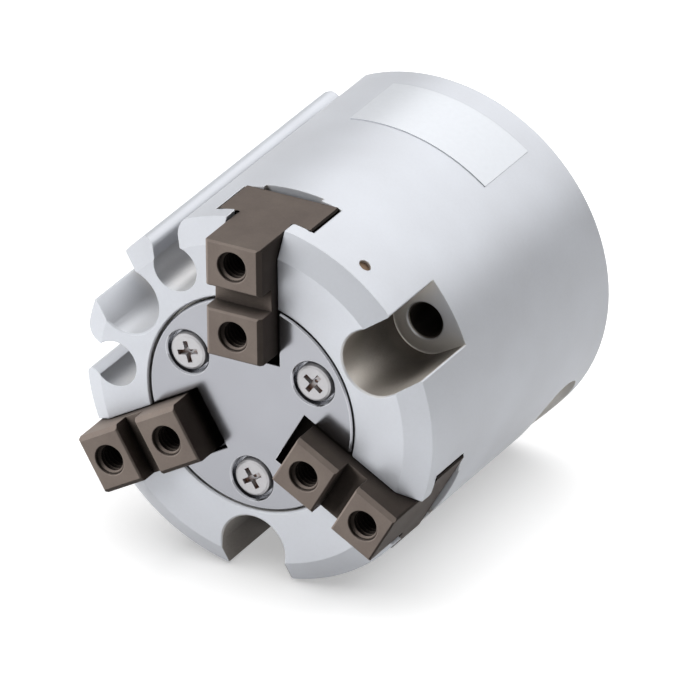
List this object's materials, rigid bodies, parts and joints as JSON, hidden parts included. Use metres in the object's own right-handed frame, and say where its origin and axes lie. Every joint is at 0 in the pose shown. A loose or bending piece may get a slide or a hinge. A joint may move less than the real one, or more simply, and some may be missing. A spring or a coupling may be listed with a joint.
{
  "type": "three jaw centric gripper",
  "caption": "Pneumatic centric gripper with a round body; jaws driven outward together by a piston and wedge cam.",
  "frame": {"origin": "centre of the rear mounting face", "axes": "+Z along the gripper's axis towards the jaws; +X through the middle of jaw 1; jaws 2 and 3 at 120 and 240 degrees from +X, turning towards +Y"},
  "size_m": [0.036, 0.0361, 0.038],
  "materials": {
    "body_aluminium": "hard anodised, fine satin",
    "cover_stainless": "polished stainless steel",
    "screw_steel": "bright stainless",
    "jaw_steel": "hardened steel, dark satin",
    "cam_steel": "ground and hardened",
    "piston_aluminium": "hard anodised, turned",
    "bolt_steel": "black oxide",
    "seal_rubber": "nitrile rubber",
    "wear_ring_resin": "filled resin",
    "magnet": "plastic-bonded ferrite",
    "cap_aluminium": "anodised, turned",
    "spring_steel": "phosphated spring steel",
    "bumper_urethane": "urethane",
    "filter_bronze": "sintered bronze",
    "label_foil": "blank foil label"
  },
  "bodies": {
    "housing": {"body": "body_aluminium", "cover_plate": "cover_stainless", "cover_screws": "screw_steel", "rear_cap": "cap_aluminium", "cap_o_ring": "seal_rubber", "retaining_ring": "spring_steel", "rear_bumper": "bumper_urethane", "front_bumper": "bumper_urethane", "rod_seal": "seal_rubber", "exhaust_filter": "filter_bronze", "rating_label": "label_foil"},
    "piston_unit": {"piston": "piston_aluminium", "wedge_cam": "cam_steel", "cam_bolt": "bolt_steel", "bolt_seal": "seal_rubber", "piston_seal": "seal_rubber", "wear_ring": "wear_ring_resin", "magnet_ring": "magnet"},
    "jaw_1_unit": {"jaw_1": "jaw_steel"},
    "jaw_2_unit": {"jaw_2": "jaw_steel"},
    "jaw_3_unit": {"jaw_3": "jaw_steel"}
  },
  "joints": [
    {"name": "piston_slide", "type": "slide", "parent": "housing", "child": "piston_unit", "axis": [0, 0, 1], "range_m": [0, 0.004]},
    {"name": "jaw_1_slide", "type": "slide", "parent": "housing", "child": "jaw_1_unit", "axis": [1, 0, 0], "range_m": [0, 0.002]},
    {"name": "jaw_2_slide", "type": "slide", "parent": "housing", "child": "jaw_2_unit", "axis": [-0.5, 0.866, 0], "range_m": [0, 0.002]},
    {"name": "jaw_3_slide", "type": "slide", "parent": "housing", "child": "jaw_3_unit", "axis": [-0.5, -0.866, 0], "range_m": [0, 0.002]}
  ],
  "couplings": [
    {"joint": "jaw_1_slide", "follows": "piston_slide", "ratio": 0.5},
    {"joint": "jaw_2_slide", "follows": "piston_slide", "ratio": 0.5},
    {"joint": "jaw_3_slide", "follows": "piston_slide", "ratio": 0.5}
  ]
}
